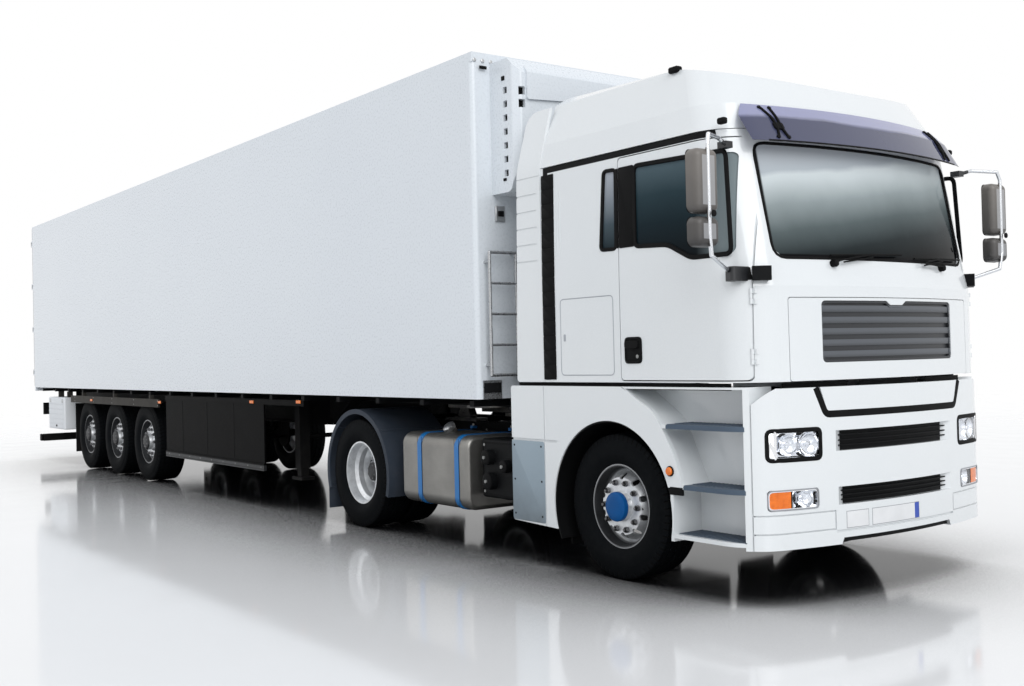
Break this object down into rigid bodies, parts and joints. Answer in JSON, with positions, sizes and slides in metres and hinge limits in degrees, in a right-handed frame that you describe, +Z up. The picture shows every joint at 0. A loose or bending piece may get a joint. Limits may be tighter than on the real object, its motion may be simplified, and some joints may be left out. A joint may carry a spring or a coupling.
{
  "type": "refrigerated articulated lorry",
  "caption": "Articulated refrigerated lorry: tractor unit with tilting cab, steered and spinning wheels, and an insulated box semi-trailer hinged at its kingpin, with opening doors.",
  "frame": {"origin": "on the ground under the middle of the whole vehicle", "axes": "+X forward, +Y to the vehicle's left, +Z up"},
  "size_m": [16.576, 3.26, 3.9949],
  "materials": {
    "white_paint": "gloss white paint",
    "panel_white": "white laminated panel",
    "glass": "tinted glass",
    "visor": "tinted translucent acrylic",
    "dark_plastic": "grained dark plastic",
    "grille_grey": "dark grey moulded plastic",
    "lamp": "clear lamp lens",
    "mirror_grey": "grey moulded plastic",
    "chassis": "dark chassis paint",
    "trailer_chassis": "dark chassis paint",
    "tyre": "rubber",
    "rim_silver": "satin silver",
    "cast": "painted casting",
    "tank": "brushed aluminium",
    "interior": "dark grey trim and cloth",
    "unit": "white moulded covers",
    "floor": "ribbed aluminium floor",
    "side_guard": "aluminium and dark infill"
  },
  "bodies": {
    "tractor": {"tractor_frame": "chassis", "front_axle": "cast", "drive_axle": "cast", "engine_block": "cast", "fifth_wheel": "cast", "front_bumper": "white_paint", "bumper_grilles": "dark_plastic", "front_lamps": "lamp", "front_fenders": "white_paint", "mudguards": "grille_grey", "fuel_tank": "tank", "chassis_boxes": "dark_plastic"},
    "cab": {"cab_shell": "white_paint", "cab_roof": "white_paint", "cab_deflectors": "white_paint", "cab_glass": "glass", "front_panel": "white_paint", "front_grille": "grille_grey", "sun_visor": "visor", "cab_trim": "dark_plastic", "cab_interior": "interior"},
    "trailer": {"trailer_frame": "trailer_chassis", "trailer_axles": "cast", "side_equipment": "side_guard", "box_floor": "floor", "box_front_wall": "panel_white", "box_side_walls": "panel_white", "box_roof": "panel_white", "rear_frame": "panel_white", "cooling_unit": "unit"},
    "cab_door_right": {"door_right": "white_paint", "door_glass_right": "glass", "mirror_right": "mirror_grey"},
    "knuckle_right": {"knuckle_right": "cast"},
    "wheel_front_right": {"tyre_front_right": "tyre", "rim_front_right": "rim_silver"},
    "wheel_drive_right": {"tyre_drive_right": "tyre", "rim_drive_right": "rim_silver"},
    "wheel_trailer_1_right": {"tyre_trailer_1_right": "tyre", "rim_trailer_1_right": "rim_silver"},
    "wheel_trailer_2_right": {"tyre_trailer_2_right": "tyre", "rim_trailer_2_right": "rim_silver"},
    "wheel_trailer_3_right": {"tyre_trailer_3_right": "tyre", "rim_trailer_3_right": "rim_silver"},
    "trailer_door_right": {"rear_door_right": "panel_white"},
    "cab_door_left": {"door_left": "white_paint", "door_glass_left": "glass", "mirror_left": "mirror_grey"},
    "knuckle_left": {"knuckle_left": "cast"},
    "wheel_front_left": {"tyre_front_left": "tyre", "rim_front_left": "rim_silver"},
    "wheel_drive_left": {"tyre_drive_left": "tyre", "rim_drive_left": "rim_silver"},
    "wheel_trailer_1_left": {"tyre_trailer_1_left": "tyre", "rim_trailer_1_left": "rim_silver"},
    "wheel_trailer_2_left": {"tyre_trailer_2_left": "tyre", "rim_trailer_2_left": "rim_silver"},
    "wheel_trailer_3_left": {"tyre_trailer_3_left": "tyre", "rim_trailer_3_left": "rim_silver"},
    "trailer_door_left": {"rear_door_left": "panel_white"}
  },
  "joints": [
    {"name": "cab_tilt", "type": "hinge", "parent": "tractor", "child": "cab", "pos_m": [8.168, 0, 1.02], "axis": [0, 1, 0], "range_deg": [0, 60]},
    {"name": "trailer_yaw", "type": "hinge", "parent": "tractor", "child": "trailer", "pos_m": [3.738, 0, 1.135], "axis": [0, 0, 1], "range_deg": [-90, 90]},
    {"name": "cab_door_right_hinge", "type": "hinge", "parent": "cab", "child": "cab_door_right", "pos_m": [8.061, -1.148, 2], "axis": [0, 0, 1], "range_deg": [0, 70]},
    {"name": "steer_right", "type": "hinge", "parent": "tractor", "child": "knuckle_right", "pos_m": [6.813, -0.86, 0.507], "axis": [0, 0, 1], "range_deg": [-40, 40]},
    {"name": "spin_front_right", "type": "hinge", "parent": "knuckle_right", "child": "wheel_front_right", "pos_m": [6.813, -1.02, 0.507], "axis": [0, 1, 0], "continuous": true},
    {"name": "spin_drive_right", "type": "hinge", "parent": "tractor", "child": "wheel_drive_right", "pos_m": [3.213, -0.909, 0.507], "axis": [0, 1, 0], "continuous": true},
    {"name": "spin_trailer_1_right", "type": "hinge", "parent": "trailer", "child": "wheel_trailer_1_right", "pos_m": [-2.752, -1.035, 0.531], "axis": [0, 1, 0], "continuous": true},
    {"name": "spin_trailer_2_right", "type": "hinge", "parent": "trailer", "child": "wheel_trailer_2_right", "pos_m": [-4.062, -1.035, 0.531], "axis": [0, 1, 0], "continuous": true},
    {"name": "spin_trailer_3_right", "type": "hinge", "parent": "trailer", "child": "wheel_trailer_3_right", "pos_m": [-5.372, -1.035, 0.531], "axis": [0, 1, 0], "continuous": true},
    {"name": "trailer_door_right_hinge", "type": "hinge", "parent": "trailer", "child": "trailer_door_right", "pos_m": [-8.276, -1.288, 2.6], "axis": [0, 0, 1], "range_deg": [0, 265]},
    {"name": "cab_door_left_hinge", "type": "hinge", "parent": "cab", "child": "cab_door_left", "pos_m": [8.061, 1.148, 2], "axis": [0, 0, 1], "range_deg": [-70, 0]},
    {"name": "steer_left", "type": "hinge", "parent": "tractor", "child": "knuckle_left", "pos_m": [6.813, 0.86, 0.507], "axis": [0, 0, 1], "range_deg": [-40, 40]},
    {"name": "spin_front_left", "type": "hinge", "parent": "knuckle_left", "child": "wheel_front_left", "pos_m": [6.813, 1.02, 0.507], "axis": [0, 1, 0], "continuous": true},
    {"name": "spin_drive_left", "type": "hinge", "parent": "tractor", "child": "wheel_drive_left", "pos_m": [3.213, 0.909, 0.507], "axis": [0, 1, 0], "continuous": true},
    {"name": "spin_trailer_1_left", "type": "hinge", "parent": "trailer", "child": "wheel_trailer_1_left", "pos_m": [-2.752, 1.035, 0.531], "axis": [0, 1, 0], "continuous": true},
    {"name": "spin_trailer_2_left", "type": "hinge", "parent": "trailer", "child": "wheel_trailer_2_left", "pos_m": [-4.062, 1.035, 0.531], "axis": [0, 1, 0], "continuous": true},
    {"name": "spin_trailer_3_left", "type": "hinge", "parent": "trailer", "child": "wheel_trailer_3_left", "pos_m": [-5.372, 1.035, 0.531], "axis": [0, 1, 0], "continuous": true},
    {"name": "trailer_door_left_hinge", "type": "hinge", "parent": "trailer", "child": "trailer_door_left", "pos_m": [-8.276, 1.288, 2.6], "axis": [0, 0, 1], "range_deg": [-265, 0]}
  ],
  "couplings": [
    {"joint": "steer_left", "follows": "steer_right", "ratio": 1}
  ]
}
